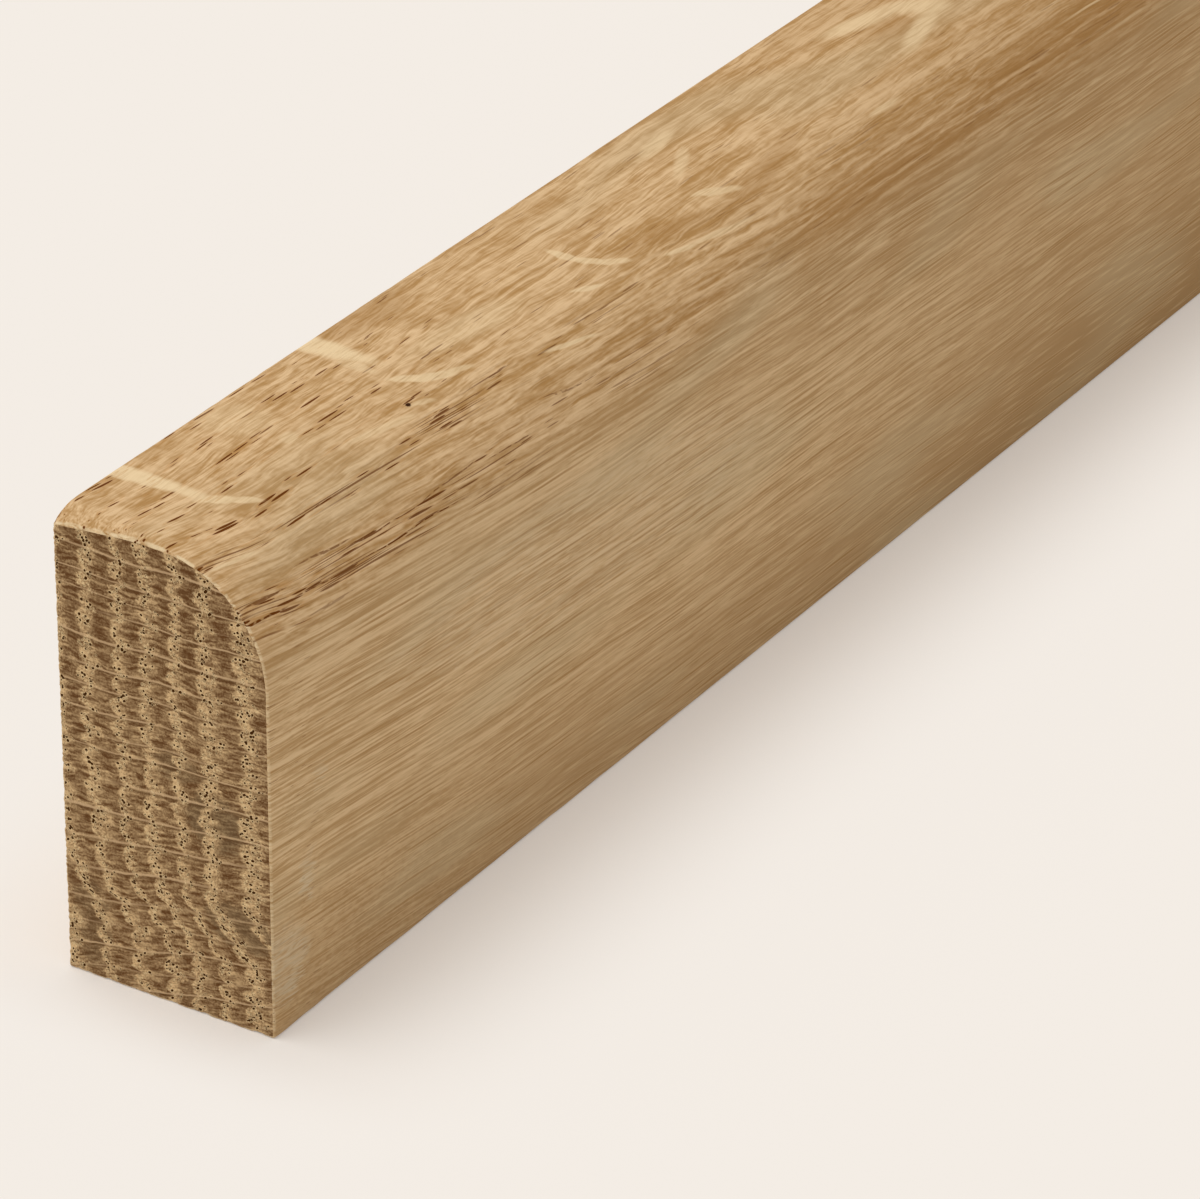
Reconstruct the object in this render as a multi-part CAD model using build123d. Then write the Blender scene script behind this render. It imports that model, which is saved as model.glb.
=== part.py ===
from build123d import *

import os
from math import asin, atan2, cos, degrees, sin

# Oak moulding strip, planed from one length of oak, with a nosed top edge at the front.
# The strip runs along X with its worn end at -X. It stands on its narrow base at Z = 0,
# the nosed front face looks towards -Y and the flat back, which goes to the wall, towards +Y.

# Overall sizes of the planed strip, millimetres
strip_length = 900.0
strip_thickness = 20.0
strip_height = 41.5

# Moulded top: flat at the back, then a shallow crown, then the round nose down to the front face
top_flat_width = 6.0
crown_radius = 27.0
nose_radius = 10.0

# Eased edges: the plane leaves the long ones, a touch of sandpaper the ones round each sawn end
back_arris_radius = 0.5
base_arris_radius = 0.3
end_arris_radius = 0.2

# Knocked corner where the near end meets the top at the back
wear_depth = 1.1
wear_length = 3.2
wear_width = 12.0
tool_clearance = 1.0

near_end = -strip_length / 2
front_face = -strip_thickness / 2
back_face = strip_thickness / 2


def moulded_section():
    """Section across the strip, drawn with Y to the right and Z up"""
    # The crown and the nose share a tangent where the crown has turned by this angle
    nose_offset = strip_thickness - top_flat_width - nose_radius
    meeting_angle = degrees(asin(nose_offset / (crown_radius - nose_radius)))

    crown = JernArc(
        start=(back_face - top_flat_width, strip_height),
        tangent=(-1, 0),
        radius=crown_radius,
        arc_size=meeting_angle,
    )
    nose = JernArc(
        start=crown @ 1,
        tangent=crown % 1,
        radius=nose_radius,
        arc_size=90 - meeting_angle,
    )
    flat_sides = Polyline(
        nose @ 1,
        (front_face, 0),
        (back_face, 0),
        (back_face, strip_height),
        crown @ 0,
    )
    section = make_face([crown, nose, flat_sides])

    base_corners = section.vertices().group_by(Axis.Y)[0]
    section = fillet(base_corners, base_arris_radius)
    back_corner = section.vertices().sort_by(lambda corner: corner.X + corner.Y)[-1]
    return fillet(back_corner, back_arris_radius)


def planed_length():
    """The section run along X, with the sharp edges of both sawn ends eased"""
    run = extrude(Plane.YZ * moulded_section(), strip_length / 2, both=True)
    ends = run.faces().sort_by(Axis.X)
    return fillet(ends[0].edges() + ends[-1].edges(), end_arris_radius)


def knocked_off_wood():
    """Wood gone from the corner: a round-over that is deepest at the back face and fades forward"""
    wear_radius = (wear_length**2 + wear_depth**2) / (2 * wear_depth)
    fade_angle = atan2(wear_depth, wear_width)

    corner_block = Box(
        wear_length + tool_clearance,
        wear_width + tool_clearance,
        wear_depth + 2 * tool_clearance,
        align=(Align.MIN, Align.MAX, Align.CENTER),
    )
    corner_block = Pos(near_end - tool_clearance, back_face + tool_clearance, strip_height) * corner_block

    # The round's axis climbs towards the front, so that the round leaves the wood there
    round_axis = Plane(
        origin=(near_end + wear_length, back_face, strip_height - wear_radius),
        x_dir=(1, 0, 0),
        z_dir=(0, -cos(fade_angle), sin(fade_angle)),
    )
    kept_round = round_axis * Cylinder(wear_radius, 4 * wear_width)
    return corner_block - kept_round


os.makedirs("parts", exist_ok=True)

moulding_strip = planed_length() - knocked_off_wood()
moulding_strip.label = "moulding_strip"
export_step(moulding_strip, "parts/moulding_strip.step")
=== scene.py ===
from math import asin, atan2, cos, degrees, radians, sin

import bmesh
import bpy
from mathutils import Matrix, Vector


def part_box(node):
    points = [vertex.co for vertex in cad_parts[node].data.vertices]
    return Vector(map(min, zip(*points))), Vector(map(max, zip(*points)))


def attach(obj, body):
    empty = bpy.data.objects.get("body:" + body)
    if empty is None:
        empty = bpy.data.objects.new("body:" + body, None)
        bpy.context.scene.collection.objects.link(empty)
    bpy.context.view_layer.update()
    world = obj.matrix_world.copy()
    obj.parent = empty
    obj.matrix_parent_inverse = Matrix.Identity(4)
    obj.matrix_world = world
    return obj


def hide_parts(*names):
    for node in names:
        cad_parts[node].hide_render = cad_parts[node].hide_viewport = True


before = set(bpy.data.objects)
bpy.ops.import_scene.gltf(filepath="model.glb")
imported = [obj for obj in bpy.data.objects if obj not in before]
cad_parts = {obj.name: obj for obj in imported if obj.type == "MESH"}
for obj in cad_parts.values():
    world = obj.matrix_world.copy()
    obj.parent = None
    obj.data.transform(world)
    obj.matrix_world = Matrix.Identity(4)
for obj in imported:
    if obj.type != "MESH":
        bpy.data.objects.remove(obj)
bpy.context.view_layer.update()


# The camera stands to the left of the strip's near end and looks down along its front face.
# It is placed by the near lower front corner of the strip, as the photograph shows it.
image_width, image_height = 1200, 1199
sensor_width = 36.0
focal_pixels = 6192.24
camera_heading = radians(31.821)
camera_dip = radians(28.952)
camera_roll = radians(0.5105)
millimetre = 0.001
low_corner, high_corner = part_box("moulding_strip")
near_corner_pixel = Vector((274.94, 1040.3))
near_corner_depth = 486.2 * millimetre
nearest_seen = 0.01

forward = Vector((
    cos(camera_heading) * cos(camera_dip),
    sin(camera_heading) * cos(camera_dip),
    -sin(camera_dip),
))
level_right = Vector((sin(camera_heading), -cos(camera_heading), 0))
level_up = level_right.cross(forward)
camera_right = level_right * cos(camera_roll) + level_up * sin(camera_roll)
camera_up = level_up * cos(camera_roll) - level_right * sin(camera_roll)

corner_right = (near_corner_pixel.x - image_width / 2) / focal_pixels * near_corner_depth
corner_up = (image_height / 2 - near_corner_pixel.y) / focal_pixels * near_corner_depth
camera_place = (
    low_corner - camera_right * corner_right - camera_up * corner_up - forward * near_corner_depth
)

camera_data = bpy.data.cameras.new("camera")
camera_data.sensor_width = sensor_width
camera_data.lens = sensor_width * focal_pixels / image_width
camera_data.clip_start = nearest_seen
camera = bpy.data.objects.new("camera", camera_data)
camera.matrix_world = Matrix.Translation(camera_place) @ Matrix((
    camera_right, camera_up, -forward
)).transposed().to_4x4()
bpy.context.scene.collection.objects.link(camera)
bpy.context.scene.camera = camera


# The strip is one length of oak, sawn square at its ends and planed to a section with a nosed top
# front edge. Its back top corner is knocked round at the near end. The shape is made in millimetres,
# with X along the strip from its near end, Y into it from the front face and Z up from the base.
strip_length, strip_thickness, strip_height = (high_corner - low_corner) / millimetre
top_flat_width = 6.0
crown_radius = 27.0
nose_radius = 10.0
back_arris_radius = 0.5
base_arris_radius = 0.3
end_arris_radius = 0.2
arris_facets, crown_facets, nose_facets = 3, 6, 30

nose_offset = strip_thickness - top_flat_width - nose_radius
meeting_angle = degrees(asin(nose_offset / (crown_radius - nose_radius)))
crown_centre = Vector((strip_thickness - top_flat_width, strip_height - crown_radius))
nose_centre = crown_centre + (crown_radius - nose_radius) * Vector((
    -sin(radians(meeting_angle)), cos(radians(meeting_angle))
))

back_arris_centre = Vector((strip_thickness - back_arris_radius, strip_height - back_arris_radius))
front_base_centre = Vector((base_arris_radius, base_arris_radius))
back_base_centre = Vector((strip_thickness - base_arris_radius, base_arris_radius))

# Each round of the section: its centre, its radius, the angles it spans and its facets
section_rounds = [
    (back_arris_centre, back_arris_radius, 0, 90, arris_facets),
    (crown_centre, crown_radius, 90, 90 + meeting_angle, crown_facets),
    (nose_centre, nose_radius, 90 + meeting_angle, 180, nose_facets),
    (front_base_centre, base_arris_radius, 180, 270, arris_facets),
    (back_base_centre, base_arris_radius, 270, 360, arris_facets),
]

# The mesh is finest on the sawn near end and just behind it, where its pores and relief show, and coarser
# beyond. The steps and the gaps between corners are in millimetres.
face_cell = 0.16
cut_tolerance = 0.0001
merged_share_of_cell = 5
fine_step, fine_until = 0.45, 30.0
middle_step, middle_until = 0.9, 80.0
coarse_step, coarse_growth, coarse_limit = 1.5, 1.12, 20.0
hidden_gap, front_gap, far_gap = 1.0, 0.3, 0.8
back_skin, below_top, base_skin = 0.6, 2, 0.4
front_skin, front_top = 0.1, 24
sharp_bend = radians(9)


def sawn_face(mesh, cell, inset):
    """The near end's face, gridded finely enough to hold its pores and trimmed to the section"""
    deep_span = strip_thickness - 2 * inset
    high_span = strip_height - 2 * inset
    bmesh.ops.create_grid(
        mesh,
        x_segments=round(deep_span / cell),
        y_segments=round(high_span / cell),
        size=0.5,
        matrix=Matrix((
            (0, 0, 1, 0),
            (deep_span, 0, 0, strip_thickness / 2),
            (0, high_span, 0, strip_height / 2),
            (0, 0, 0, 1),
        )),
    )
    for centre, radius, start, end, facets in section_rounds:
        for facet in range(facets):
            angle = radians(start + (end - start) * (facet + 0.5) / facets)
            outwards = Vector((0, cos(angle), sin(angle)))
            bmesh.ops.bisect_plane(
                mesh,
                geom=mesh.verts[:] + mesh.edges[:] + mesh.faces[:],
                plane_co=Vector((0, *centre)) + outwards * (radius - inset),
                plane_no=outwards,
                dist=cut_tolerance,
                clear_outer=True,
            )
    bmesh.ops.remove_doubles(mesh, verts=mesh.verts[:], dist=cell / merged_share_of_cell)


def straight_out(place):
    """The direction straight out of the section at a place on its outline"""
    for centre, radius, start, end, facets in section_rounds:
        spoke = place.yz - centre
        if start <= degrees(atan2(spoke.y, spoke.x)) % 360 <= end:
            return Vector((0, *spoke.normalized()))
    sides = {
        place.y: Vector((0, -1, 0)),
        strip_thickness - place.y: Vector((0, 1, 0)),
        place.z: Vector((0, 0, -1)),
        strip_height - place.z: Vector((0, 0, 1)),
    }
    return sides[min(sides)]


def drawn_on(mesh, step, widening=0.0):
    """Extrudes the open rim along the strip by a step, and out of the section by a widening"""
    rim = [edge for edge in mesh.edges if edge.is_boundary]
    grown = bmesh.ops.extrude_edge_only(mesh, edges=rim)["geom"]
    for corner in (item for item in grown if isinstance(item, bmesh.types.BMVert)):
        corner.co += straight_out(corner.co) * widening + Vector((step, 0, 0))


def thinned_out(mesh, spacing, thin_here):
    """Dissolves corners of the open rim that stand closer than the spacing, but for those at a bend"""
    corners = {corner for edge in mesh.edges if edge.is_boundary for corner in edge.verts}
    ring = sorted(corners, key=lambda c: atan2(c.co.z - strip_height / 2, c.co.y - strip_thickness / 2))
    last_kept = ring[-1]
    spare = []
    for corner, following in zip(ring, ring[1:] + ring[:1]):
        bend_before = straight_out(corner.co).angle(straight_out(last_kept.co))
        bend_after = straight_out(corner.co).angle(straight_out(following.co))
        near_last = (corner.co - last_kept.co).length < spacing
        if thin_here(corner.co) and near_last and max(bend_before, bend_after) < sharp_bend:
            spare.append(corner)
        else:
            last_kept = corner
    bmesh.ops.dissolve_verts(mesh, verts=spare)


def on_hidden_side(place):
    """The back and the base, which lie against a wall and a floor"""
    on_back = place.y > strip_thickness - back_skin and place.z < strip_height - below_top
    return on_back or place.z < base_skin


def on_front_face(place):
    return place.y < front_skin and place.z < front_top


def anywhere(place):
    return True


strip_shape = bmesh.new()
sawn_face(strip_shape, face_cell, end_arris_radius)
arris_angles = [0, 30, 60, 90]
for start, end in zip(arris_angles, arris_angles[1:]):
    drawn_on(
        strip_shape,
        step=end_arris_radius * (cos(radians(start)) - cos(radians(end))),
        widening=end_arris_radius * (sin(radians(end)) - sin(radians(start))),
    )
reached = end_arris_radius
drawn_on(strip_shape, fine_step)
reached += fine_step
thinned_out(strip_shape, hidden_gap, on_hidden_side)
thinned_out(strip_shape, front_gap, on_front_face)
while reached < fine_until:
    drawn_on(strip_shape, fine_step)
    reached += fine_step
while reached < middle_until:
    drawn_on(strip_shape, middle_step)
    reached += middle_step
thinned_out(strip_shape, far_gap, anywhere)
step = coarse_step
while reached + 2 * step < strip_length - end_arris_radius:
    drawn_on(strip_shape, step)
    reached += step
    step = min(step * coarse_growth, coarse_limit)
drawn_on(strip_shape, strip_length - end_arris_radius - reached)
for start, end in zip(arris_angles, arris_angles[1:]):
    drawn_on(
        strip_shape,
        step=end_arris_radius * (sin(radians(end)) - sin(radians(start))),
        widening=end_arris_radius * (cos(radians(end)) - cos(radians(start))),
    )
bmesh.ops.edgeloop_fill(strip_shape, edges=[edge for edge in strip_shape.edges if edge.is_boundary])
bmesh.ops.recalc_face_normals(strip_shape, faces=strip_shape.faces[:])

# The knock has rounded the corner over, most at the back face, and pressed the wood under it together
wear_length, wear_width, wear_depth = 3.2, 12.0, 1.1
pressed_depth = 3.0
wear_radius = (wear_length**2 + wear_depth**2) / (2 * wear_depth)
for corner in strip_shape.verts:
    if corner.co.x < wear_length and corner.co.z > strip_height - pressed_depth:
        climb = (strip_thickness - corner.co.y) * wear_depth / wear_width
        round_over = (wear_radius**2 - (wear_length - corner.co.x)**2) ** 0.5
        drop = max(0.0, wear_radius - climb - round_over)
        share = 1 - (strip_height - corner.co.z) / pressed_depth
        smooth_share = share * share * (3 - 2 * share)
        corner.co.z -= drop * smooth_share

planed_face, end_face = 0, 1
faces_along = 0.99
for face in strip_shape.faces:
    face.smooth = True
    face.material_index = end_face if abs(face.normal.x) > faces_along else planed_face

to_centre = (-strip_length / 2, -strip_thickness / 2, 0)
bmesh.ops.translate(strip_shape, verts=strip_shape.verts[:], vec=to_centre)
bmesh.ops.scale(strip_shape, verts=strip_shape.verts[:], vec=(millimetre,) * 3)
strip_mesh = bpy.data.meshes.new("planed_strip")
strip_shape.to_mesh(strip_mesh)
strip_shape.free()
planed_strip = bpy.data.objects.new("planed_strip", strip_mesh)
bpy.context.scene.collection.objects.link(planed_strip)


# The figure of the oak. The strip is cut on the quarter: its growth rings stand upright in the section,
# the rays cross them level, and open vessels fill the pale early wood of each ring. The figure is
# needed twice, to carve its relief into the mesh and to colour the surface, so it is written once.
class Wire:
    """A value on its way through a node tree, which can be reckoned with like a number"""

    def __init__(self, tree, socket):
        self.tree = tree
        self.socket = socket

    def math(self, operation, *others):
        node = self.tree.nodes.new("ShaderNodeMath")
        node.operation = operation
        for place, value in enumerate((self, *others)):
            connect(self.tree, value, node.inputs[place])
        return Wire(self.tree, node.outputs[0])

    def __add__(self, other):
        return self.math("ADD", other)

    def __sub__(self, other):
        return self.math("SUBTRACT", other)

    def __mul__(self, other):
        return self.math("MULTIPLY", other)

    def upside_down(self):
        """1 minus the value"""
        return self.math("MULTIPLY_ADD", -1.0, 1.0)

    def between(self, low, high):
        """The low amount where the value is 0, the high one where it is 1, and evenly between"""
        return self * (high - low) + low

    def swing(self, size):
        """A value from 0 to 1, made one from minus half the size to plus half the size"""
        return (self - 0.5) * size

    def rises(self, low, high, full=1.0):
        """0 up to low, full from high and a smooth rise between, or a fall where high is the smaller"""
        node = self.tree.nodes.new("ShaderNodeMapRange")
        node.interpolation_type = "SMOOTHSTEP"
        connect(self.tree, self, node.inputs["Value"])
        connect(self.tree, low, node.inputs["From Min"])
        connect(self.tree, high, node.inputs["From Max"])
        connect(self.tree, full, node.inputs["To Max"])
        return Wire(self.tree, node.outputs["Result"])

    def follows(self, points):
        """The height of a curve through these (place, height) points, which runs straight between them"""
        (first_place, first_height), (last_place, last_height) = points[0], points[-1]
        place_span = last_place - first_place
        height_span = last_height - first_height
        node = self.tree.nodes.new("ShaderNodeFloatCurve")
        curve = node.mapping.curves[0]
        curve.points[0].location = (0, 0)
        curve.points[1].location = (1, 1)
        for place, height in points[1:-1]:
            curve.points.new((place - first_place) / place_span, (height - first_height) / height_span)
        for point in curve.points:
            point.handle_type = "VECTOR"
        node.mapping.update()
        connect(self.tree, (self - first_place) * (1 / place_span), node.inputs["Value"])
        return Wire(self.tree, node.outputs[0]).math("MULTIPLY_ADD", height_span, first_height)


def connect(tree, value, socket):
    """Feeds a socket from a wire, or sets it to a plain value"""
    if isinstance(value, Wire):
        tree.links.new(value.socket, socket)
    else:
        socket.default_value = value


def place_at(tree, *parts):
    node = tree.nodes.new("ShaderNodeCombineXYZ")
    for socket, value in zip(node.inputs, parts):
        connect(tree, value, socket)
    return Wire(tree, node.outputs[0])


def repeated(tree, parts, repeats):
    """A place in a pattern that repeats so many times for each 1 in the value of each part"""
    return place_at(tree, *(part * times for part, times in zip(parts, repeats)))


def parts_of(tree, vector):
    node = tree.nodes.new("ShaderNodeSeparateXYZ")
    connect(tree, vector, node.inputs[0])
    return [Wire(tree, output) for output in node.outputs]


def noise(tree, place, detail=1.0, roughness=0.5, output="Fac"):
    node = tree.nodes.new("ShaderNodeTexNoise")
    connect(tree, place, node.inputs["Vector"])
    node.inputs["Scale"].default_value = 1.0
    node.inputs["Detail"].default_value = detail
    node.inputs["Roughness"].default_value = roughness
    return Wire(tree, node.outputs[output])


def cells(tree, place, dimensions="3D"):
    """Distance from the middle of the nearest of many scattered cells, and that cell's chance value"""
    node = tree.nodes.new("ShaderNodeTexVoronoi")
    node.voronoi_dimensions = dimensions
    connect(tree, place, node.inputs["Vector"])
    node.inputs["Scale"].default_value = 1.0
    chances = parts_of(tree, Wire(tree, node.outputs["Color"]))
    return Wire(tree, node.outputs["Distance"]), chances[0]


# Where the growth rings start at half height, from the back of the strip to its front, in millimetres
ring_starts = [27.3, 24.4, 20.5, 17.55, 14.6, 12.2, 9.35, 6.7, 2.95, -0.7, -3.5]

# Where the broad rays cross the back face, from under the base to above the top. Those above the top
# run out through it further along, as flecks.
ray_heights = [
    -4.0, -1.6, 0.3, 2.6, 4.6, 6.9, 9.8, 12.7, 15.35, 18.2, 21.0, 22.3, 24.7, 27.0, 28.9, 31.4,
    33.9, 35.3, 36.95, 39.2, 41.9, 44.4, 45.8, 47.9, 49.3, 51.2, 53.5, 55.1, 57.6, 60.4, 62.0, 66.0,
]

# How the fibres run, in millimetres: how far they dip as they leave the near end, and over what length,
# how much they dip all along, how far they turn towards the back, and how far they wander
first_dip, first_dip_length, steady_dip = 3.3, 35, 0.026
turned_back, turned_back_span = 0.8, (0.0, 8.0)
wander_in_height, wander_in_depth = 1.0, 1.4
back_edge = 0.4

# How the rings lean below a height, and kink near the base; how the rays fan out below the same height
bend_height, ring_lean, ray_fan = 31.0, 0.0012, 0.0085
kink_size, kink_span = 3.1, (11.5, 5.0)
uneven_ray_size, uneven_ring_size = 0.16, 1.1
bulge_span, bulge_at_ray, bulge_between = (0.0, 0.3), 0.35, -0.25

# Where in a ring's age, from 0 to 1, its early wood opens and ends, and so its vessels, and how raggedly
early_opens, early_ends, early_ragged = (0.0, 0.1), (0.7, 0.2), 0.9
vessels_open, vessels_end, vessels_ragged = (0.02, 0.12), (0.55, 0.35), 0.6

# The sizes of the vessels, as shares of the gap between two: within the early wood, how far all are
# narrowed, how much they differ, and how much they narrow behind the cut and further along
tube_size_early, tube_narrowing, tube_spread = 0.42, 0.1, 0.24
behind_cut_span, behind_cut_narrowing = (0.5, 2.0), 0.035
far_tube_span, far_tube_narrowing = (14.0, 50.0), 0.1
tube_edge = (0.05, -0.05)
long_tube_spread, long_tube_narrowing = 0.56, 0.13
far_long_tube_span, far_long_tube_narrowing = (25.0, 60.0), 0.12
pit_size, pit_edge = 0.2, (0.04, -0.04)
rim_width, rim_edge = 0.1, (0.12, 0.03)

# The broad rays and their shaded undersides, as shares of the gap between two, and the fine rays' spindles
ray_shows, ray_edge = (0.3, 0.6), (0.055, 0.02)
shade_offset, shade_edge = 0.08, (0.1, 0.0)
spindle_fill, spindle_rim_outside, spindle_rim_inside = (0.28, 0.08), (0.42, 0.3), (0.2, 0.3)

# The crinkle of the rings and the waviness of the rays, in millimetres, and how fine the streaks are
crinkle_size, wavy_size = 0.9, 0.5
streak_detail, streak_roughness = 2.0, 0.6

# How often each pattern repeats in a millimetre, along the strip and the two ways across it
wander_repeats = (0.04, 0.14, 0.14)
uneven_repeats = (0.12, 0.75, 1.1)
tube_repeats = (0.15, 3.2, 3.2)
long_tube_repeats = (0.05, 3.6)
ray_repeats = (0.05, 0.06, 3.7)
spindle_repeats = (0.045, 1.7)
crinkle_repeats = (0.22, 0.9, 0.9)
streak_repeats = (0.035, 1.3, 1.9)
fibre_repeats = (0.3, 5.0, 5.5)
strand_repeats = (0.045, 0.8, 3.6)
ray_cell_repeats = (1.3, 0.6, 3.2)


def oak_figure(tree, object_place):
    """The parts of the oak's figure at a place in the strip, as named wires"""
    centred_x, centred_y, centred_z = parts_of(tree, object_place)
    along = centred_x.math("MULTIPLY_ADD", 1 / millimetre, strip_length / 2)
    deep = centred_y.math("MULTIPLY_ADD", 1 / millimetre, strip_thickness / 2)
    high = centred_z * (1 / millimetre)

    # How far the surface faces up: not at all on the sides, more and more round the nose, and fully on top
    off_back = deep.rises(strip_thickness, strip_thickness - back_edge)
    up = (high - nose_centre.y) * (1 / nose_radius) * off_back

    # The fibres dip towards the base as they leave the near end, steeply at first, and wander a little
    dipped = (along * (-1 / first_dip_length)).math("EXPONENT").upside_down() * first_dip
    wander = noise(tree, repeated(tree, (along, deep, high), wander_repeats), detail=0.0, output="Color")
    wander_deep, wander_high, cloud = parts_of(tree, wander)
    fibre_high = high + dipped + along * steady_dip + wander_high.swing(wander_in_height)
    fibre_deep = deep + along.rises(*turned_back_span) * turned_back + wander_deep.swing(wander_in_depth)

    # Small unevenness, about as large as the gaps between the rays
    uneven = noise(tree, repeated(tree, (along, deep, high), uneven_repeats), output="Color")
    uneven_ring, uneven_ray, mottle = parts_of(tree, uneven)

    # The rings lean towards the front near the base, and kink there
    under_bend = fibre_high.math("MULTIPLY_ADD", -1.0, bend_height).math("MAXIMUM", 0.0)
    kink = fibre_high.rises(*kink_span) * kink_size
    across_rings = fibre_deep + under_bend * under_bend * ring_lean + kink

    # The rays fan out: the lower they are, the more they climb towards the front
    fan = under_bend * deep.math("MULTIPLY_ADD", -1.0, strip_thickness) * ray_fan
    across_rays = fibre_high - fan + uneven_ray.swing(uneven_ray_size)
    ray_count = across_rays.follows([(height, number) for number, height in enumerate(ray_heights)])
    ray_gap = ray_count.math("PINGPONG", 0.5)

    # Each ring bulges towards the back between two broad rays
    rings = [(start, number) for number, start in enumerate(ring_starts)]
    bulge = ray_gap.rises(*bulge_span).between(bulge_at_ray, bulge_between)
    ring_place = across_rings + uneven_ring.swing(uneven_ring_size) + bulge
    ring_age = ring_place.follows(rings[::-1]).math("FRACT")

    # Early wood opens a ring sharply and passes slowly into the dark late wood
    early = ring_age.rises(*early_opens) * (ring_age + mottle.swing(early_ragged)).rises(*early_ends)
    vessel_zone = ring_age.rises(*vessels_open)
    vessel_zone = vessel_zone * (ring_age + mottle.swing(vessels_ragged)).rises(*vessels_end)

    # Vessels are long tubes, wide in the early wood; many are closed
    tube_place = repeated(tree, (along, across_rings, across_rays), tube_repeats)
    tube_gap, tube_chance = cells(tree, tube_place)
    tube_size = vessel_zone * tube_size_early - tube_narrowing + tube_chance.swing(tube_spread)
    tube_size = tube_size - along.rises(*behind_cut_span) * behind_cut_narrowing
    tube_size = tube_size - along.rises(*far_tube_span) * far_tube_narrowing
    vessel = (tube_gap - tube_size).rises(*tube_edge)
    vessel_rim = (tube_gap - tube_size - rim_width).math("ABSOLUTE").rises(*rim_edge)
    pit = (tube_gap - tube_chance * pit_size).rises(*pit_edge)

    # Round the nose they are cut open lengthways, as long dark lines
    long_tube_place = repeated(tree, (along, across_rings + across_rays), long_tube_repeats)
    long_gap, long_chance = cells(tree, long_tube_place, "2D")
    long_size = long_chance * long_tube_spread - long_tube_narrowing
    long_size = long_size - along.rises(*far_long_tube_span) * far_long_tube_narrowing
    long_vessel = (long_gap - long_size).rises(*tube_edge) * vessel_zone

    # Rays are thin sheets of pale wood that stand across the rings, broken up along the strip
    ray_strength = noise(tree, repeated(tree, (along, deep, ray_count.math("ROUND")), ray_repeats))
    ray_here = ray_strength.rises(*ray_shows)
    ray = ray_gap.rises(*ray_edge) * ray_here
    ray_shade = (ray_count + shade_offset).math("PINGPONG", 0.5).rises(*shade_edge) * ray_here

    # Fine rays lie between the broad ones, and show as long thin spindles where the front face cuts them
    spindle_gap, spindle_chance = cells(tree, repeated(tree, (along, across_rays), spindle_repeats), "2D")
    spindle = spindle_gap.rises(*spindle_fill)
    spindle_edge = spindle_gap.rises(*spindle_rim_outside) * spindle_gap.rises(*spindle_rim_inside)

    # The wood between them is streaked lengthways, from broad soft streaks down to single fibres
    crinkle = noise(tree, repeated(tree, (along, across_rings, across_rays), crinkle_repeats))
    crinkled_rings = across_rings + crinkle.swing(crinkle_size)
    streak_place = repeated(tree, (along, crinkled_rings, across_rays), streak_repeats)
    streak = noise(tree, streak_place, detail=streak_detail, roughness=streak_roughness)
    fibre = noise(tree, repeated(tree, (along, crinkled_rings, across_rays), fibre_repeats))
    strand = noise(tree, repeated(tree, (along, across_rings, across_rays), strand_repeats))

    # Fine ray cells run across the fibres, as a short shimmer on the top and torn ends on the sawn face
    wavy_rays = across_rays + mottle.swing(wavy_size)
    ray_cells = noise(tree, repeated(tree, (along, crinkled_rings, wavy_rays), ray_cell_repeats))
    return {
        "along": along, "deep": deep, "high": high, "up": up, "cloud": cloud, "mottle": mottle,
        "early": early, "vessel": vessel, "vessel_rim": vessel_rim, "tube_chance": tube_chance,
        "long_vessel": long_vessel, "pit": pit, "ray": ray, "ray_shade": ray_shade, "spindle": spindle,
        "spindle_edge": spindle_edge, "spindle_chance": spindle_chance, "streak": streak,
        "strand": strand, "fibre": fibre, "ray_cells": ray_cells,
    }


# Its relief: the vessels are open pits, the early wood lies a little lower than the late wood, and the
# saw has torn the ray cells at the cut. Depths and spans are in millimetres.
vessel_depth, early_depth, streak_depth, torn_depth = 0.06, 0.03, 0.03, 0.06
sunk_streaks, torn_cells = (0.6, 0.4), (0.45, 0.7)
sawn_span, torn_span = (0.3, 0.1), (0.7, 0.1)
relief_fade = 10.0

relief_tree = bpy.data.node_groups.new("oak_relief", "GeometryNodeTree")
relief_tree.interface.new_socket("Geometry", in_out="INPUT", socket_type="NodeSocketGeometry")
relief_tree.interface.new_socket("Geometry", in_out="OUTPUT", socket_type="NodeSocketGeometry")
relief_start = relief_tree.nodes.new("NodeGroupInput")
relief_end = relief_tree.nodes.new("NodeGroupOutput")
place_node = relief_tree.nodes.new("GeometryNodeInputPosition")
normal_node = relief_tree.nodes.new("GeometryNodeInputNormal")
lowering = relief_tree.nodes.new("ShaderNodeVectorMath")
lowering.operation = "SCALE"
moving = relief_tree.nodes.new("GeometryNodeSetPosition")

figure = oak_figure(relief_tree, Wire(relief_tree, place_node.outputs[0]))
in_fine_mesh = figure["along"].rises(middle_until, middle_until - relief_fade)
by_the_cut = figure["along"].rises(*torn_span)
sawn = figure["along"].rises(*sawn_span)
depth = figure["vessel"] * sawn * vessel_depth + figure["early"] * early_depth
depth = depth + figure["streak"].rises(*sunk_streaks) * streak_depth
depth = depth + figure["ray_cells"].rises(*torn_cells) * by_the_cut * torn_depth
depth = depth * in_fine_mesh
relief_tree.links.new(normal_node.outputs[0], lowering.inputs[0])
connect(relief_tree, depth * -millimetre, lowering.inputs["Scale"])
relief_tree.links.new(relief_start.outputs["Geometry"], moving.inputs["Geometry"])
relief_tree.links.new(lowering.outputs[0], moving.inputs["Offset"])
relief_tree.links.new(moving.outputs["Geometry"], relief_end.inputs["Geometry"])
relief = planed_strip.modifiers.new("oak_relief", "NODES")
relief.node_group = relief_tree
carved_strip = planed_strip.evaluated_get(bpy.context.evaluated_depsgraph_get())
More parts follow.
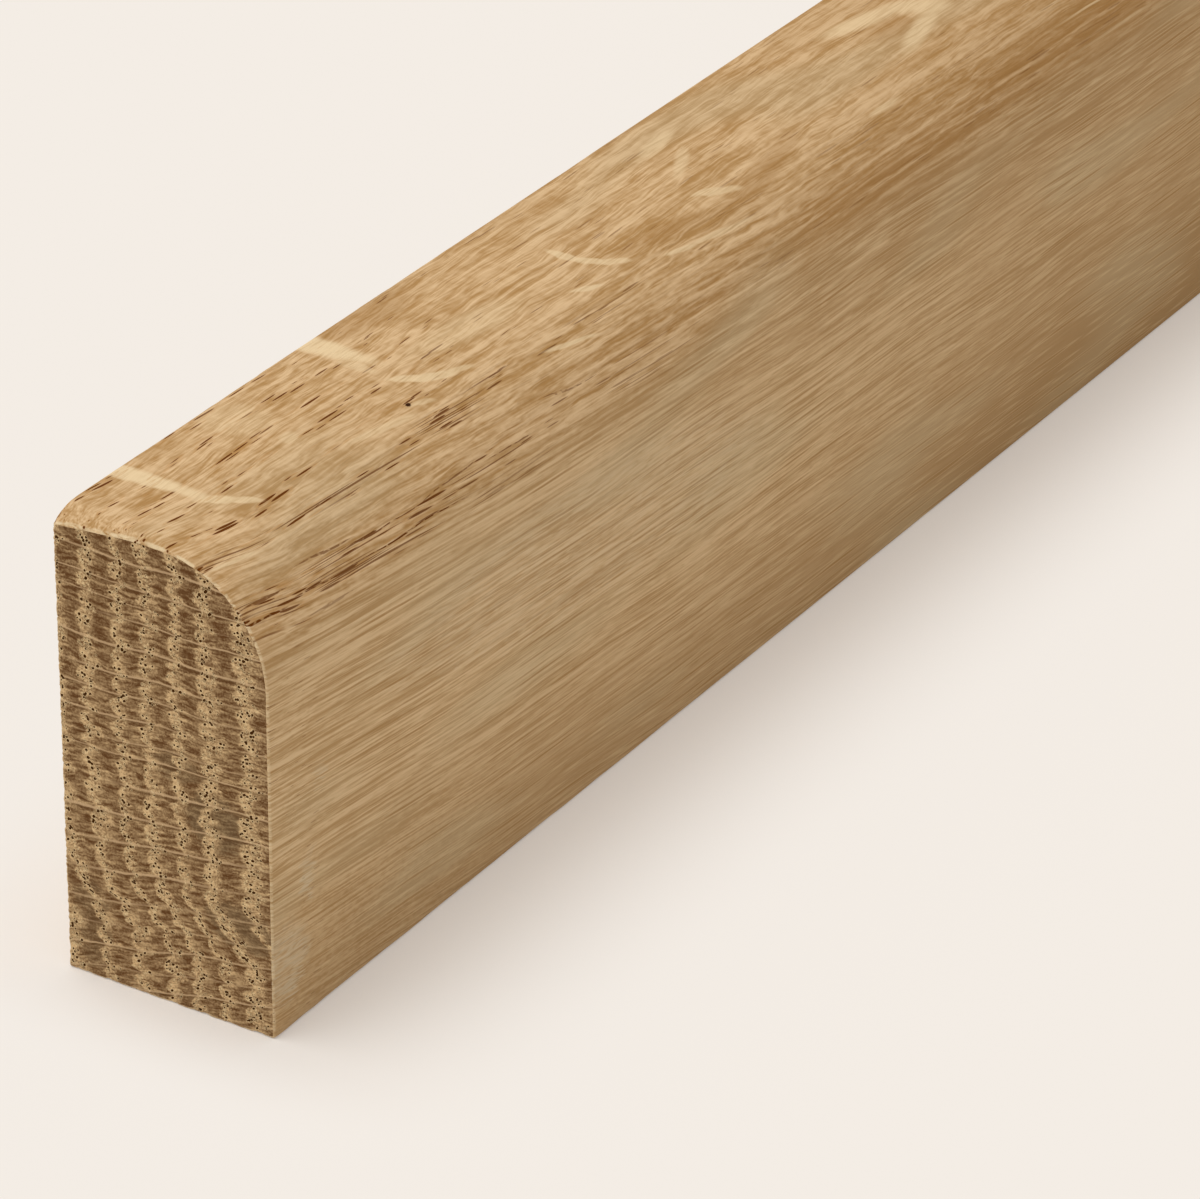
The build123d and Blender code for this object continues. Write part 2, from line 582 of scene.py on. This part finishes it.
carved_mesh = bpy.data.meshes.new_from_object(carved_strip)
planed_strip.modifiers.remove(relief)
planed_strip.data = carved_mesh

# The same figure as a node group, which both finishes of the strip colour themselves by
figure_group = bpy.data.node_groups.new("oak_figure", "ShaderNodeTree")
figure_group.interface.new_socket("place", in_out="INPUT", socket_type="NodeSocketVector")
group_start = figure_group.nodes.new("NodeGroupInput")
group_end = figure_group.nodes.new("NodeGroupOutput")
figure = oak_figure(figure_group, Wire(figure_group, group_start.outputs["place"]))
for name, wire in figure.items():
    figure_group.interface.new_socket(name, in_out="OUTPUT", socket_type="NodeSocketFloat")
    connect(figure_group, wire, group_end.inputs[name])


def colour(red, green, blue):
    """A linear colour from the 0 to 255 values that a screen shows"""
    return tuple((((part / 255) + 0.055) / 1.055) ** 2.4 for part in (red, green, blue)) + (1.0,)


def mixed(tree, share, ground, tint):
    """The ground colour, covered by the tint as far as the share says"""
    node = tree.nodes.new("ShaderNodeMix")
    node.data_type = "RGBA"
    ground_socket, tint_socket, mixed_socket = node.inputs[6], node.inputs[7], node.outputs[2]
    connect(tree, share, node.inputs["Factor"])
    connect(tree, ground, ground_socket)
    connect(tree, tint, tint_socket)
    return Wire(tree, mixed_socket)


def oak_material(name):
    """A material with the oak's figure laid into it: its tree, its shader and the figure's wires"""
    material = bpy.data.materials.new(name)
    material.use_nodes = True
    tree = material.node_tree
    shader = tree.nodes["Principled BSDF"]
    coordinates = tree.nodes.new("ShaderNodeTexCoord")
    group = tree.nodes.new("ShaderNodeGroup")
    group.node_tree = figure_group
    tree.links.new(coordinates.outputs["Object"], group.inputs["place"])
    return material, tree, shader, {output.name: Wire(tree, output) for output in group.outputs}


def give_relief(tree, shader, height, distance):
    bump = tree.nodes.new("ShaderNodeBump")
    bump.inputs["Strength"].default_value = 1.0
    bump.inputs["Distance"].default_value = distance
    connect(tree, height, bump.inputs["Height"])
    tree.links.new(bump.outputs["Normal"], shader.inputs["Normal"])


def on_map(tree, across, up):
    """A place on a flat map of a side; its third part, 1, lets a patch shift it"""
    return place_at(tree, across, up, 1.0)


def patch(tree, place, centre, half_size, turn, soft, strength):
    """The strength inside an oval on a map, which is turned by some degrees, and 0 outside"""
    lengthwise = Vector((cos(radians(turn)), sin(radians(turn))))
    crosswise = Vector((-lengthwise.y, lengthwise.x))
    reach = 0.0
    for direction, half in zip((lengthwise, crosswise), half_size):
        node = tree.nodes.new("ShaderNodeVectorMath")
        node.operation = "DOT_PRODUCT"
        connect(tree, place, node.inputs[0])
        node.inputs[1].default_value = (*direction / half, -direction.dot(Vector(centre)) / half)
        share = Wire(tree, node.outputs["Value"])
        reach = share.math("MULTIPLY_ADD", share, reach)
    return reach.rises((1 + soft)**2, (1 - soft)**2, strength)


def patches(tree, place, ovals, soft):
    """The ovals together, each as strong as it says, and all as soft at the edge"""
    together = None
    for strength, centre, half_size, turn in ovals:
        oval = patch(tree, place, centre, half_size, turn, soft, strength)
        together = oval if together is None else together.math("MAXIMUM", oval)
    return together


# Pale flecks on the top, where a broad ray comes out through it: how strong, where along the strip
# and how deep, half length and half width, and how far they are turned
top_flecks = [
    (0.95, (7.9, 21.0), (0.95, 9.6), 1),
    (0.8, (8.5, 10.6), (1.7, 0.6), -50),
    (0.7, (9.9, 9.0), (1.6, 0.4), -40),
    (0.95, (34.1, 22.0), (1.35, 8.2), 1),
    (0.45, (32.9, 14.0), (0.6, 1.8), 0),
    (0.75, (34.1, 9.5), (1.8, 0.5), -40),
    (0.75, (35.9, 8.4), (2.0, 0.5), -28),
    (0.6, (37.9, 7.7), (1.8, 0.35), -16),
    (0.7, (59.5, 10.9), (0.5, 1.7), 8),
    (0.75, (60.4, 9.0), (1.6, 0.42), -52),
    (0.6, (61.8, 7.7), (1.6, 0.36), -28),
    (0.65, (56.6, 7.1), (1.7, 0.25), -18),
    (0.6, (78.3, 7.6), (2.4, 0.45), -22),
    (0.5, (74.4, 4.5), (4.4, 0.2), -6),
    (0.6, (68.5, 5.2), (1.9, 0.22), -12),
    (0.7, (49.6, 4.2), (3.2, 0.18), -9),
    (0.4, (26.4, 7.1), (3.6, 0.4), -11),
    (0.5, (32.0, 7.0), (1.3, 0.3), -20),
    (0.4, (19.9, 11.6), (0.9, 0.6), 0),
    (0.6, (3.3, 5.3), (2.6, 0.16), -10),
]

# Softer and wider flecks, and the warm brown places between the flecks
soft_flecks = [
    (0.65, (115.0, 14.2), (4.6, 1.0), -13),
    (0.65, (120.0, 12.6), (2.9, 1.1), -27),
    (0.6, (118.0, 9.8), (5.0, 0.75), 15),
    (0.65, (121.4, 11.3), (2.2, 1.4), 0),
    (0.5, (82.0, 16.0), (2.6, 0.7), 10),
    (0.45, (80.3, 12.4), (2.4, 0.5), 26),
    (0.45, (103.0, 5.2), (2.0, 0.3), 0),
    (0.35, (44.0, 10.6), (5.5, 1.3), -6),
    (0.3, (20.0, 16.5), (2.2, 2.6), 0),
]
warm_places = [
    (0.5, (41.5, 18.6), (5.0, 1.7), 0),
    (0.45, (70.0, 7.0), (5.0, 0.7), -8),
    (0.5, (84.0, 6.6), (6.0, 0.9), 8),
    (0.5, (115.0, 11.3), (2.6, 1.2), 0),
]

# Dark marks: a pin knot on the top, and the longest of the open vessels on the nose, which go by length
# and height instead
pin_knot = (1.0, (30.8, 7.55), (0.26, 0.2), 0)
nose_lines = [
    (1.0, (2.0, 36.5), (2.7, 0.08), -7),
    (0.9, (10.5, 36.1), (4.6, 0.06), -4),
    (1.0, (21.5, 35.5), (7.2, 0.07), -3),
    (0.9, (18.8, 36.8), (4.8, 0.055), -3),
    (0.8, (3.2, 37.4), (2.8, 0.055), -4),
    (0.7, (11.4, 37.7), (3.4, 0.055), -4),
    (0.7, (28.0, 36.7), (4.6, 0.055), 2),
    (0.7, (36.8, 36.3), (3.2, 0.055), -3),
    (0.6, (46.5, 37.1), (4.0, 0.05), -5),
    (0.5, (9.5, 34.6), (3.4, 0.05), -3),
]

# Pale grey rubs on the front face, where it was handled, by length and height; the last is a broad pale
# wash over the upper middle, a painted sheen of light off the planed face
front_rubs_and_sheen = [
    (0.9, (1.5, 6.5), (3.0, 3.4), 0),
    (0.7, (5.0, 13.0), (0.9, 1.8), 0),
    (0.6, (7.0, 21.3), (1.0, 0.6), 0),
    (0.3, (46.0, 24.5), (27.0, 6.0), -3),
]

# How soft the marks' edges are, as a share of their size, and how ragged, in millimetres
fleck_edge, soft_fleck_edge, warm_edge, mark_edge = 0.32, 0.6, 0.7, 0.22
ragged_along, ragged_across_top, ragged_knot = 0.5, 0.6, 0.5
ragged_rub_and_sheen_along, ragged_rub_and_sheen_high = 4.0, 6.0
uneven_line, ragged_line = 0.7, 0.15

# Where the top and the nose are, by how far the surface faces up, and other spans in millimetres along
# the strip, up from the base or in from the front
top_span, nose_from, nose_to = (0.1, 0.6), (0.1, 0.4), (0.99, 0.9)
round_front_from, round_front_to = (-0.9, 0.1), (0.92, 0.55)
near_end_span, foot_span, foot_height = (60.0, 5.0), (45.0, 10.0), (14.0, 5.0)
far_fleck_span, rub_and_sheen_depth, thread_span = (125.0, 140.0), (3.0, 1.0), (0.3, 0.1)
# The first two spans on the next line place the painted shade on the sides: along the strip and up from
# the base
far_shade_span, foot_shade_height, warm_span = (60.0, 160.0), (18.0, 1.0), (35.0, 100.0)
vessel_span, long_vessel_span, pit_span, rim_span = (20.0, 80.0), (30.0, 80.0), (16.0, 0.0), (60.0, 10.0)

# How far each part of the figure carries a mark or a colour, from where it starts to where it is full
fibre_carries_fleck, fibre_carries_rub_and_sheen, cells_carry_line = (0.2, 0.6), (0.35, 0.65), (0.3, 0.5)
streak_carries_warmth, cloud_is_dull, cells_in_thread = (0.75, 0.35), (0.5, 0.75), (0.35, 0.6)

# How much each part of the figure darkens or lightens the wood: first on the top, then on the sides, and
# for the strands and the ray cells first away from the near end, then at it
streak_tones, fibre_tones, middle_tones, mottle_tone = (1.6, 1.2), (1.2, 1.0), (0.49, 0.51), 0.4
strand_tones, top_cell_tones, foot_cell_tone, cell_tone = (1.5, 2.5), (0.15, 0.3), 1.4, 0.2

# How strongly each colour covers the wood
# The first two values on the next line set how strongly the painted shade covers the sides, along the
# strip and by the base
far_shade_shares, foot_shade_share, warm_share, warm_shares = (0.4, 0.6), 0.6, 0.8, (0.1, 0.7)
cloud_dull, side_dull = 0.25, 0.24
spindle_shares, spindle_on_faces, spindle_edge_share = (0.1, 0.6), (0.2, 1.0), 0.3
rub_and_sheen_shares, fleck_shares, far_fleck_share, thread_shares = (0.1, 0.55), (0.7, 1.0), 0.6, (0.4, 0.75)
vessel_shares, long_vessel_shares, pit_share, rim_share = (1.0, 0.35), (0.75, 0.2), 0.6, 0.35

# The colours of the planed faces, and how rough and deep their grain is
dark_planed, pale_planed = colour(176, 134, 82), colour(224, 189, 144)
# The first colour on the next line is a painted shade, for the sides far along the strip and by the base
painted_shade_brown, warm_planed, dull_planed = colour(164, 123, 74), colour(162, 118, 66), colour(194, 174, 137)
spindle_brown, spindle_pale = colour(158, 118, 68), colour(226, 198, 154)
# The first colour on the next line is for the rubs, and also for the painted sheen over the front's upper
# middle
rub_and_sheen_grey, fleck_pale, thread_pale = colour(206, 192, 164), colour(234, 206, 162), colour(234, 212, 172)
rim_warm, vessel_brown, knot_brown = colour(192, 140, 82), colour(104, 55, 8), colour(60, 32, 10)
planed_roughness, planed_gloss = 0.65, 0.03
raised_grain_repeats, raised_grain_depth = (0.3, 5.0, 5.0), 0.05 * millimetre

planed_oak, tree, shader, oak = oak_material("planed_oak")
on_top = oak["up"].rises(*top_span)
on_side = on_top.upside_down()
on_nose = oak["up"].rises(*nose_from) * oak["up"].rises(*nose_to)
near_end = oak["along"].rises(*near_end_span)
rough_foot = on_side * oak["along"].rises(*foot_span) * oak["high"].rises(*foot_height)

# Its marks, on maps of the top, the front and the nose
mark_along = oak["along"] + oak["ray_cells"].swing(ragged_along)
top_place = on_map(tree, mark_along, oak["deep"] + oak["mottle"].swing(ragged_across_top))
sharp_ones = patches(tree, top_place, top_flecks, fleck_edge)
flecks = sharp_ones.math("MAXIMUM", patches(tree, top_place, soft_flecks, soft_fleck_edge))
flecks = flecks * on_top * oak["fibre"].rises(*fibre_carries_fleck).between(*fleck_shares)
warmer = patches(tree, top_place, warm_places, warm_edge) * on_top
far_flecks = oak["ray"] * on_top * oak["along"].rises(*far_fleck_span)
rub_and_sheen_along = oak["along"] + oak["mottle"].swing(ragged_rub_and_sheen_along)
front_place = on_map(tree, rub_and_sheen_along, oak["high"] + oak["fibre"].swing(ragged_rub_and_sheen_high))
rubs_and_sheen = patches(tree, front_place, front_rubs_and_sheen, mark_edge) * on_side * oak["deep"].rises(*rub_and_sheen_depth)
line_high = oak["high"] + oak["mottle"].swing(uneven_line) + oak["fibre"].swing(ragged_line)
nose_place = on_map(tree, mark_along, line_high)
lines = patches(tree, nose_place, nose_lines, mark_edge) * on_nose
lines = lines * oak["ray_cells"].rises(*cells_carry_line)
knot_place = on_map(tree, oak["along"], oak["deep"] + oak["fibre"].swing(ragged_knot))
knot = patches(tree, knot_place, [pin_knot], mark_edge) * on_top

# Its ground colour, darker and paler with the figure; then painted shade, browner along the strip and by
# the base
tone = oak["streak"].swing(on_side.between(*streak_tones))
tone = tone + oak["fibre"].swing(on_side.between(*fibre_tones))
tone = tone + oak["mottle"].swing(mottle_tone) + on_side.between(*middle_tones)
cell_tones = on_top * near_end.between(*top_cell_tones) + rough_foot * foot_cell_tone + cell_tone
tone = tone + oak["ray_cells"].swing(cell_tones)
tone = tone + oak["strand"].swing(on_side * near_end.between(*strand_tones))
wood = mixed(tree, tone.rises(0.0, 1.0), dark_planed, pale_planed)
painted_shade = oak["along"].rises(*far_shade_span) * on_side.between(*far_shade_shares)
painted_shade = painted_shade + oak["high"].rises(*foot_shade_height) * on_side * foot_shade_share
wood = mixed(tree, painted_shade, wood, painted_shade_brown)
round_front = oak["up"].rises(*round_front_from) * oak["up"].rises(*round_front_to)
warm_nose = round_front * oak["along"].rises(*warm_span).between(*warm_shares)
warm_nose = warm_nose * oak["streak"].rises(*streak_carries_warmth)
wood = mixed(tree, warmer * warm_share + warm_nose, wood, warm_planed)
dull = oak["cloud"].rises(*cloud_is_dull) * cloud_dull + on_side * side_dull
wood = mixed(tree, dull, wood, dull_planed)

# Its spindles, its rubs and painted sheen, and flecks, and a thread of torn pale wood along the sawn edge
spindles = oak["spindle"] * oak["spindle_chance"].between(*spindle_shares)
wood = mixed(tree, spindles * on_side.between(*spindle_on_faces), wood, spindle_brown)
wood = mixed(tree, oak["spindle_edge"] * on_side * spindle_edge_share, wood, spindle_pale)
rubs_and_sheen = rubs_and_sheen * oak["fibre"].rises(*fibre_carries_rub_and_sheen).between(*rub_and_sheen_shares)
wood = mixed(tree, rubs_and_sheen, wood, rub_and_sheen_grey)
wood = mixed(tree, flecks + far_flecks * far_fleck_share, wood, fleck_pale)
thread = oak["along"].rises(*thread_span) * oak["ray_cells"].rises(*cells_in_thread)
wood = mixed(tree, thread * on_top.between(*thread_shares), wood, thread_pale)

# Its open vessels, and the pin knot
vessels = oak["vessel"] * on_top * oak["along"].rises(*vessel_span).between(*vessel_shares)
long_vessels = oak["along"].rises(*long_vessel_span).between(*long_vessel_shares)
long_vessels = oak["long_vessel"] * on_nose * long_vessels
pits = oak["pit"] * on_side * oak["along"].rises(*pit_span) * pit_share
vessels = vessels.math("MAXIMUM", long_vessels).math("MAXIMUM", lines).math("MAXIMUM", pits)
warm_rims = oak["vessel_rim"] * on_top * oak["along"].rises(*rim_span) * rim_share
wood = mixed(tree, warm_rims, wood, rim_warm)
wood = mixed(tree, vessels * flecks.upside_down(), wood, vessel_brown)
wood = mixed(tree, knot, wood, knot_brown)
connect(tree, wood, shader.inputs["Base Color"])
shader.inputs["Roughness"].default_value = planed_roughness
shader.inputs["Specular IOR Level"].default_value = planed_gloss
grain_place = repeated(tree, (oak["along"], oak["deep"], oak["high"]), raised_grain_repeats)
give_relief(tree, shader, noise(tree, grain_place, detail=0.0), raised_grain_depth)

# Grey stains in the late wood of the near end, placed by depth and height, and how ragged they are
end_stains = [
    (0.5, (5.3, 18.0), (2.6, 2.4), 20),
    (0.45, (3.0, 9.2), (3.4, 1.8), 12),
    (0.35, (9.0, 22.0), (2.4, 1.2), 0),
    (0.3, (17.8, 5.0), (1.8, 4.0), 0),
]
ragged_stain_deep, ragged_stain_high = 3.0, 2.0
stain_span = (1.0, 0.5)

# How much each part of the figure darkens or lightens the sawn ends, how strongly their colours cover,
# the colours themselves, and how rough and deep the saw has left the face
end_early_tone, end_mottle_tone, end_cell_tone = 0.6, 0.4, 1.9
end_chance_tones, end_fibre_tones = (0.1, 0.6), (1.1, 2.3)
upper_dark, upper_span, end_tone_span = 0.1, (26.0, 38.0), (-0.55, 1.25)
ray_shade_share, ray_share, lit_lip_share, open_tubes = 0.5, 0.75, 0.6, (0.56, 0.7)
dark_sawn, pale_sawn, stained_sawn = colour(100, 67, 38), colour(220, 186, 138), colour(104, 86, 62)
ray_shaded, ray_pale = colour(94, 64, 36), colour(204, 172, 132)
# The first colour on the next line is a painted highlight on the lips of the pores
lit_lip_highlight, open_dark = colour(232, 206, 158), colour(72, 42, 14)
sawn_roughness, sawn_gloss = 0.8, 0.0
cell_relief, sawn_relief_depth = 0.5, 0.06 * millimetre

sawn_oak, tree, shader, oak = oak_material("sawn_oak")
tone = oak["early"] * end_early_tone
tone = tone + oak["tube_chance"].swing(oak["early"].between(*end_chance_tones))
tone = tone + oak["mottle"].swing(end_mottle_tone) + oak["ray_cells"].swing(end_cell_tone)
tone = tone + oak["fibre"].swing(oak["early"].between(*end_fibre_tones))
tone = tone - oak["high"].rises(*upper_span) * upper_dark
wood = mixed(tree, tone.rises(*end_tone_span), dark_sawn, pale_sawn)
stain_deep = oak["deep"] + oak["mottle"].swing(ragged_stain_deep)
stain_place = on_map(tree, stain_deep, oak["high"] + oak["ray_cells"].swing(ragged_stain_high))
stains = patches(tree, stain_place, end_stains, mark_edge) * oak["early"].upside_down()
wood = mixed(tree, stains * oak["along"].rises(*stain_span), wood, stained_sawn)
wood = mixed(tree, oak["ray_shade"] * ray_shade_share, wood, ray_shaded)
wood = mixed(tree, oak["ray"] * ray_share, wood, ray_pale)
# A painted highlight: pale lips round the vessels of the early wood, as if light caught the rims of the
# pores
wood = mixed(tree, oak["vessel_rim"] * oak["early"] * lit_lip_share, wood, lit_lip_highlight)
wood = mixed(tree, oak["vessel"] * oak["tube_chance"].rises(*open_tubes), wood, open_dark)
connect(tree, wood, shader.inputs["Base Color"])
shader.inputs["Roughness"].default_value = sawn_roughness
shader.inputs["Specular IOR Level"].default_value = sawn_gloss
give_relief(tree, shader, oak["ray_cells"] * cell_relief - oak["vessel"], sawn_relief_depth)

# The finished strip takes the place of the model's plain one
planed_strip.data.materials.append(planed_oak)
planed_strip.data.materials.append(sawn_oak)
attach(planed_strip, "root")
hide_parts("moulding_strip")


# The floor is a plain pale sheet that the strip stands on. To the camera it glows a little, as the
# photograph's bright ground does, and more so away from the strip, which keeps its shadow close.
floor_reach = 3.0
floor_colour = colour(244, 237, 229)
glow_at_strip, glow_far_off = 0.25, 0.92
glow_start, glow_full = 1.0, 22.0
faster_past_end = 2.0

floor_shape = bmesh.new()
bmesh.ops.create_grid(floor_shape, x_segments=1, y_segments=1, size=floor_reach)
floor_mesh = bpy.data.meshes.new("floor")
floor_shape.to_mesh(floor_mesh)
floor_shape.free()
floor = bpy.data.objects.new("floor", floor_mesh)
bpy.context.scene.collection.objects.link(floor)
floor_material = bpy.data.materials.new("pale_floor")
floor_material.use_nodes = True
tree = floor_material.node_tree
floor_shader = tree.nodes["Principled BSDF"]
floor_shader.inputs["Base Color"].default_value = floor_colour
floor_shader.inputs["Roughness"].default_value = 1.0
floor_shader.inputs["Specular IOR Level"].default_value = 0.0


def seen_directly(tree):
    """1 where the camera sees a thing itself, or through a gloss or a glass"""
    rays = tree.nodes.new("ShaderNodeLightPath").outputs
    camera_ray, glossy_ray, transmission_ray = (
        Wire(tree, rays[name]) for name in ("Is Camera Ray", "Is Glossy Ray", "Is Transmission Ray")
    )
    return camera_ray.math("MAXIMUM", glossy_ray).math("MAXIMUM", transmission_ray)


glow = tree.nodes.new("ShaderNodeEmission")
glow.inputs["Color"].default_value = floor_colour
floor_mix = tree.nodes.new("ShaderNodeMixShader")
floor_coordinates = tree.nodes.new("ShaderNodeTexCoord")
floor_along, floor_across = parts_of(tree, Wire(tree, floor_coordinates.outputs["Object"]))[:2]
past_end, past_side = (
    distance.math("ABSOLUTE").math("MULTIPLY_ADD", 1 / millimetre, -span / 2).math("MAXIMUM", 0.0)
    for distance, span in ((floor_along, strip_length), (floor_across, strip_thickness))
)
past_end = past_end * faster_past_end
from_strip = (past_end * past_end + past_side * past_side).math("SQRT")
floor_glow = from_strip.rises(glow_start, glow_full).between(glow_at_strip, glow_far_off)
connect(tree, seen_directly(tree) * floor_glow, floor_mix.inputs["Fac"])
tree.links.new(floor_shader.outputs[0], floor_mix.inputs[1])
tree.links.new(glow.outputs[0], floor_mix.inputs[2])
tree.links.new(floor_mix.outputs[0], tree.nodes["Material Output"].inputs["Surface"])
floor.data.materials.append(floor_material)


# Soft studio light: an even white surround, and one large lamp above and behind the strip. The lamp
# lights the top, and leaves the front face and the sawn near end a little darker.
surround_light = (0.59, 0.59, 0.59, 1.0)
key_strength = 1.42
key_spread = radians(60)
key_heading, key_height = radians(120), radians(66)

world = bpy.data.worlds.new("studio")
bpy.context.scene.world = world
world.use_nodes = True
tree = world.node_tree
surround = mixed(tree, seen_directly(tree), surround_light, floor_colour)
connect(tree, surround, tree.nodes["Background"].inputs["Color"])

key_data = bpy.data.lights.new("key", "SUN")
key_data.energy = key_strength
key_data.angle = key_spread
key = bpy.data.objects.new("key", key_data)
to_key = Vector((
    cos(key_heading) * cos(key_height),
    sin(key_heading) * cos(key_height),
    sin(key_height),
))
key.matrix_world = to_key.to_track_quat("Z", "Y").to_matrix().to_4x4()
bpy.context.scene.collection.objects.link(key)

bpy.context.scene.view_settings.view_transform = "Standard"
